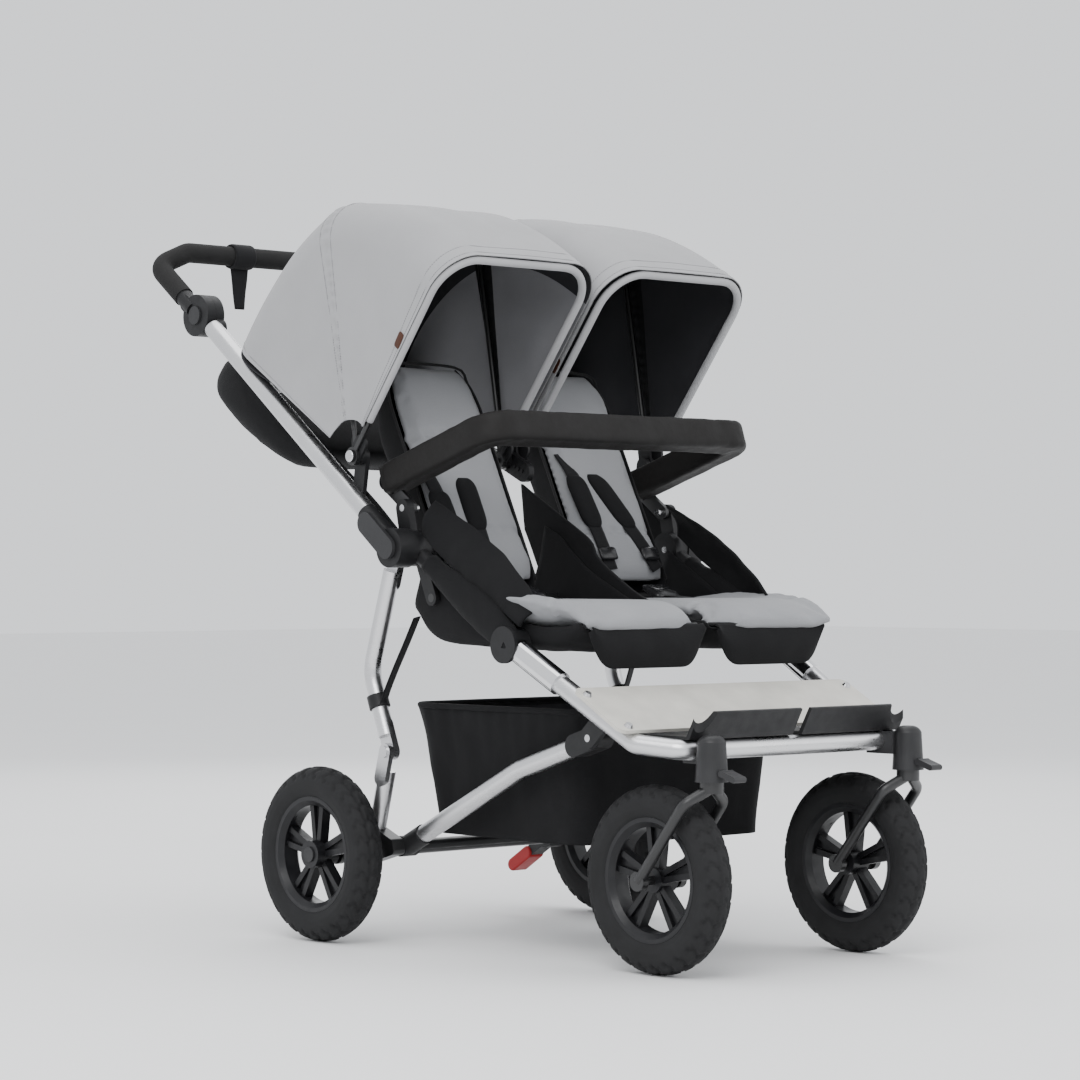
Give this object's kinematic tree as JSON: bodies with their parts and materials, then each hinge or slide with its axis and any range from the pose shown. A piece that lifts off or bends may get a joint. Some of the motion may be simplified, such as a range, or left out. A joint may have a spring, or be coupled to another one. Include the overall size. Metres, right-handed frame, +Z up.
{
  "type": "double jogging stroller",
  "caption": "Side-by-side double all-terrain stroller with swivelling front casters, folding tubular frame, reclining seats and folding canopies.",
  "frame": {"origin": "on the floor, under the middle of the whole stroller's bounding box", "axes": "+Z up; -Y is the way the stroller faces and rolls; +X is the sitting children's left"},
  "size_m": [0.626, 1.2138, 1.0804],
  "materials": {
    "satin_tube": "satin anodised tube",
    "chrome_sleeve": "bright polished",
    "champagne_board": "pale champagne-grey, satin",
    "black_plastic": "fine-grained matte",
    "dark_grey_plastic": "satin",
    "black_metal": "satin black powder coat",
    "rim_plastic": "semi-gloss",
    "tyre": "moulded tread",
    "steel": "bright bolts and pins",
    "foam_grip": "soft foam",
    "bumper_cover": "brown-black stitched cover",
    "grey_fabric": "light grey weave",
    "black_fabric": "black weave",
    "red_plastic": "smooth"
  },
  "bodies": {
    "front_frame": {"front_tube": "satin_tube", "front_sleeves": "chrome_sleeve", "frame_castings": "black_plastic", "seat_frame": "black_metal", "frame_fasteners": "steel", "footboard": "champagne_board", "footrests": "black_plastic", "caster_barrels": "dark_grey_plastic", "basket": "black_fabric", "seat_base_left": "black_fabric", "seat_base_right": "black_fabric"},
    "upper_frame": {"upper_tubes": "satin_tube", "fold_housings": "black_plastic", "canopy_brackets": "black_plastic", "storage_bag": "black_fabric", "handle_hubs": "black_plastic", "canopy_left": "grey_fabric", "canopy_right": "grey_fabric"},
    "seat_rod": {"recline_rod": "black_metal"},
    "bumper": {"bumper_pad": "bumper_cover", "bumper_core": "black_metal"},
    "rear_upper_legs": {"rear_upper_legs": "satin_tube"},
    "rear_lower_frame": {"rear_lower_legs": "satin_tube", "rear_axle": "black_metal"},
    "low_tubes": {"low_tubes": "satin_tube", "low_tube_ends": "black_plastic"},
    "brake_pedal": {"brake_pedal": "dark_grey_plastic", "brake_pedal_tip": "red_plastic"},
    "handlebar": {"handle_tube": "satin_tube", "handle_grip": "foam_grip", "handle_knuckles": "black_plastic", "handle_strap": "black_fabric"},
    "seat_back_right": {"seat_back_right": "grey_fabric"},
    "canopy_mid_hub_right": {"canopy_mid_hub_right": "black_plastic"},
    "canopy_mid_bow_right": {"canopy_mid_bow_right": "black_metal"},
    "canopy_front_hub_right": {"canopy_front_hub_right": "black_plastic"},
    "canopy_front_bow_right": {"canopy_front_bow_right": "black_metal"},
    "fold_lever_right": {"fold_lever_right": "dark_grey_plastic"},
    "handle_button_right": {"handle_button_right": "dark_grey_plastic"},
    "rear_wheel_right": {"rear_rim_right": "rim_plastic", "rear_tyre_right": "tyre"},
    "rear_hub_button_right": {"rear_hub_button_right": "dark_grey_plastic"},
    "fork_right": {"fork_right": "black_metal"},
    "front_wheel_right": {"front_rim_right": "rim_plastic", "front_tyre_right": "tyre"},
    "swivel_lock_right": {"swivel_lock_right": "dark_grey_plastic"},
    "seat_back_left": {"seat_back_left": "grey_fabric"},
    "canopy_mid_hub_left": {"canopy_mid_hub_left": "black_plastic"},
    "canopy_mid_bow_left": {"canopy_mid_bow_left": "black_metal"},
    "canopy_front_hub_left": {"canopy_front_hub_left": "black_plastic"},
    "canopy_front_bow_left": {"canopy_front_bow_left": "black_metal"},
    "fold_lever_left": {"fold_lever_left": "dark_grey_plastic"},
    "handle_button_left": {"handle_button_left": "dark_grey_plastic"},
    "rear_wheel_left": {"rear_rim_left": "rim_plastic", "rear_tyre_left": "tyre"},
    "rear_hub_button_left": {"rear_hub_button_left": "dark_grey_plastic"},
    "fork_left": {"fork_left": "black_metal"},
    "front_wheel_left": {"front_rim_left": "rim_plastic", "front_tyre_left": "tyre"},
    "swivel_lock_left": {"swivel_lock_left": "dark_grey_plastic"}
  },
  "joints": [
    {"name": "fold", "type": "hinge", "parent": "front_frame", "child": "upper_frame", "pos_m": [0, -0.01988, 0.571], "axis": [1, 0, 0], "range_deg": [0, 115]},
    {"name": "seat_fold", "type": "hinge", "parent": "front_frame", "child": "seat_rod", "pos_m": [0, -0.05088, 0.5], "axis": [1, 0, 0], "range_deg": [0, 76]},
    {"name": "bumper_fold", "type": "hinge", "parent": "front_frame", "child": "bumper", "pos_m": [0, -0.00788, 0.628], "axis": [1, 0, 0], "range_deg": [0, 62]},
    {"name": "leg_fold", "type": "hinge", "parent": "front_frame", "child": "rear_upper_legs", "pos_m": [0, 0.04112, 0.56], "axis": [1, 0, 0], "range_deg": [-20.95, 0]},
    {"name": "lower_leg_fold", "type": "hinge", "parent": "rear_upper_legs", "child": "rear_lower_frame", "pos_m": [0, 0.05012, 0.278], "axis": [1, 0, 0], "range_deg": [0, 88.51]},
    {"name": "low_tube_fold", "type": "hinge", "parent": "front_frame", "child": "low_tubes", "pos_m": [0, -0.35988, 0.313], "axis": [1, 0, 0], "range_deg": [0, 13]},
    {"name": "handle_tilt", "type": "hinge", "parent": "upper_frame", "child": "handlebar", "pos_m": [0, 0.44512, 0.928], "axis": [1, 0, 0], "range_deg": [-20, 50]},
    {"name": "brake_pedal_turn", "type": "hinge", "parent": "rear_lower_frame", "child": "brake_pedal", "pos_m": [0, 0.15262, 0.127], "axis": [1, 0, 0], "range_deg": [-18, 0]},
    {"name": "recline_right", "type": "hinge", "parent": "seat_rod", "child": "seat_back_right", "pos_m": [0, -0.05088, 0.5], "axis": [1, 0, 0], "range_deg": [-30, 0]},
    {"name": "canopy_mid_fold_right", "type": "hinge", "parent": "upper_frame", "child": "canopy_mid_hub_right", "pos_m": [0, 0.06412, 0.703], "axis": [1, 0, 0], "range_deg": [-43.2, 0], "deforming": ["canopy_right"]},
    {"name": "canopy_right_open", "type": "hinge", "parent": "canopy_mid_hub_right", "child": "canopy_mid_bow_right", "pos_m": [0, 0.06412, 0.703], "axis": [1, 0, 0], "range_deg": [-43, 0]},
    {"name": "canopy_front_fold_right", "type": "hinge", "parent": "canopy_mid_bow_right", "child": "canopy_front_hub_right", "pos_m": [0, 0.06412, 0.703], "axis": [1, 0, 0], "range_deg": [-44.2, 0]},
    {"name": "canopy_front_slide_right", "type": "hinge", "parent": "canopy_front_hub_right", "child": "canopy_front_bow_right", "pos_m": [0, 0.06412, 0.703], "axis": [1, 0, 0], "range_deg": [-44.2, 0]},
    {"name": "fold_lever_turn_right", "type": "hinge", "parent": "upper_frame", "child": "fold_lever_right", "pos_m": [0, -0.01988, 0.571], "axis": [1, 0, 0], "range_deg": [0, 22], "stiffness_Nm_per_rad": 0.6},
    {"name": "handle_button_press_right", "type": "slide", "parent": "handlebar", "child": "handle_button_right", "axis": [1, 0, 0], "range_m": [0, 0.003], "stiffness_N_per_m": 400},
    {"name": "rear_wheel_spin_right", "type": "hinge", "parent": "rear_lower_frame", "child": "rear_wheel_right", "pos_m": [-0.2875, 0.15262, 0.127], "axis": [1, 0, 0], "continuous": true},
    {"name": "rear_hub_press_right", "type": "slide", "parent": "rear_wheel_right", "child": "rear_hub_button_right", "axis": [1, 0, 0], "range_m": [0, 0.003], "stiffness_N_per_m": 400},
    {"name": "fork_swivel_right", "type": "hinge", "parent": "front_frame", "child": "fork_right", "pos_m": [-0.194, -0.55388, 0.29], "axis": [0, 0, 1], "continuous": true},
    {"name": "front_wheel_spin_right", "type": "hinge", "parent": "fork_right", "child": "front_wheel_right", "pos_m": [-0.194, -0.45438, 0.127], "axis": [1, 0, 0], "continuous": true},
    {"name": "swivel_lock_turn_right", "type": "hinge", "parent": "front_frame", "child": "swivel_lock_right", "pos_m": [-0.194, -0.58088, 0.274], "axis": [1, 0, 0], "range_deg": [-30, 0]},
    {"name": "recline_left", "type": "hinge", "parent": "seat_rod", "child": "seat_back_left", "pos_m": [0, -0.05088, 0.5], "axis": [1, 0, 0], "range_deg": [-30, 0]},
    {"name": "canopy_mid_fold_left", "type": "hinge", "parent": "upper_frame", "child": "canopy_mid_hub_left", "pos_m": [0, 0.06412, 0.703], "axis": [1, 0, 0], "range_deg": [-43.2, 0], "deforming": ["canopy_left"]},
    {"name": "canopy_left_open", "type": "hinge", "parent": "canopy_mid_hub_left", "child": "canopy_mid_bow_left", "pos_m": [0, 0.06412, 0.703], "axis": [1, 0, 0], "range_deg": [-43, 0]},
    {"name": "canopy_front_fold_left", "type": "hinge", "parent": "canopy_mid_bow_left", "child": "canopy_front_hub_left", "pos_m": [0, 0.06412, 0.703], "axis": [1, 0, 0], "range_deg": [-44.2, 0]},
    {"name": "canopy_front_slide_left", "type": "hinge", "parent": "canopy_front_hub_left", "child": "canopy_front_bow_left", "pos_m": [0, 0.06412, 0.703], "axis": [1, 0, 0], "range_deg": [-44.2, 0]},
    {"name": "fold_lever_turn_left", "type": "hinge", "parent": "upper_frame", "child": "fold_lever_left", "pos_m": [0, -0.01988, 0.571], "axis": [1, 0, 0], "range_deg": [0, 22], "stiffness_Nm_per_rad": 0.6},
    {"name": "handle_button_press_left", "type": "slide", "parent": "handlebar", "child": "handle_button_left", "axis": [-1, 0, 0], "range_m": [0, 0.003], "stiffness_N_per_m": 400},
    {"name": "rear_wheel_spin_left", "type": "hinge", "parent": "rear_lower_frame", "child": "rear_wheel_left", "pos_m": [0.2875, 0.15262, 0.127], "axis": [1, 0, 0], "continuous": true},
    {"name": "rear_hub_press_left", "type": "slide", "parent": "rear_wheel_left", "child": "rear_hub_button_left", "axis": [-1, 0, 0], "range_m": [0, 0.003], "stiffness_N_per_m": 400},
    {"name": "fork_swivel_left", "type": "hinge", "parent": "front_frame", "child": "fork_left", "pos_m": [0.194, -0.55388, 0.29], "axis": [0, 0, 1], "continuous": true},
    {"name": "front_wheel_spin_left", "type": "hinge", "parent": "fork_left", "child": "front_wheel_left", "pos_m": [0.194, -0.45438, 0.127], "axis": [1, 0, 0], "continuous": true},
    {"name": "swivel_lock_turn_left", "type": "hinge", "parent": "front_frame", "child": "swivel_lock_left", "pos_m": [0.194, -0.58088, 0.274], "axis": [1, 0, 0], "range_deg": [-30, 0]}
  ],
  "couplings": [
    {"joint": "seat_fold", "follows": "fold", "ratio": 0.66087},
    {"joint": "bumper_fold", "follows": "fold", "ratio": 0.53913},
    {"joint": "leg_fold", "follows": "fold", "ratio": -0.18217},
    {"joint": "lower_leg_fold", "follows": "fold", "ratio": 0.76965},
    {"joint": "low_tube_fold", "follows": "fold", "ratio": 0.11304},
    {"joint": "canopy_mid_fold_right", "follows": "fold", "ratio": -0.37391},
    {"joint": "canopy_front_fold_right", "follows": "fold", "ratio": -0.38261},
    {"joint": "canopy_front_slide_right", "follows": "canopy_right_open", "ratio": 1.0233},
    {"joint": "canopy_mid_fold_left", "follows": "fold", "ratio": -0.37391},
    {"joint": "canopy_front_fold_left", "follows": "fold", "ratio": -0.38261},
    {"joint": "canopy_front_slide_left", "follows": "canopy_left_open", "ratio": 1.0233}
  ]
}
